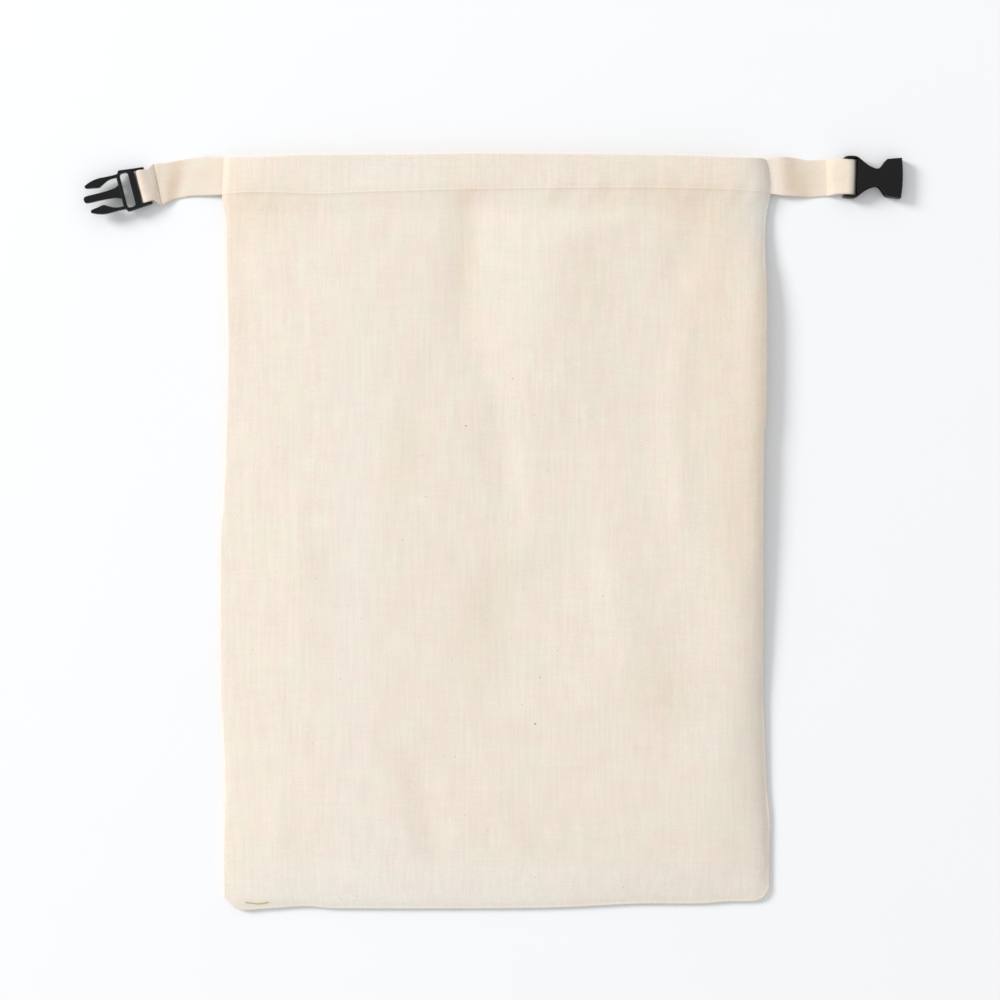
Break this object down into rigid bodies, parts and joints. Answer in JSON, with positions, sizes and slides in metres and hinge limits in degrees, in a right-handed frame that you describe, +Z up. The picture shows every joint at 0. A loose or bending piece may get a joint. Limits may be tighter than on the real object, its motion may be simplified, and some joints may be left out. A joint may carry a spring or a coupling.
{
  "type": "waxed cotton bag with a side-release buckle",
  "caption": "Flat waxed cotton bag, open at a hemmed mouth, with half a side-release buckle on a short cloth strap at each end of the mouth.",
  "frame": {"origin": "on the surface that the bag lies on, under the middle of the whole object in plan", "axes": "+X along the mouth towards the socket half of the buckle, +Y from the bottom seam towards the mouth, +Z up from the surface"},
  "size_m": [0.4543, 0.419, 0.0098],
  "materials": {
    "cloth": "natural cotton stiffened with beeswax, with a dull waxy sheen",
    "plastic": "moulded black acetal with a fine matt texture"
  },
  "bodies": {
    "root": {"front_panel": "cloth", "back_panel": "cloth", "strap_left": "cloth", "strap_right": "cloth", "buckle_plug": "plastic", "buckle_socket": "plastic"}
  },
  "joints": []
}
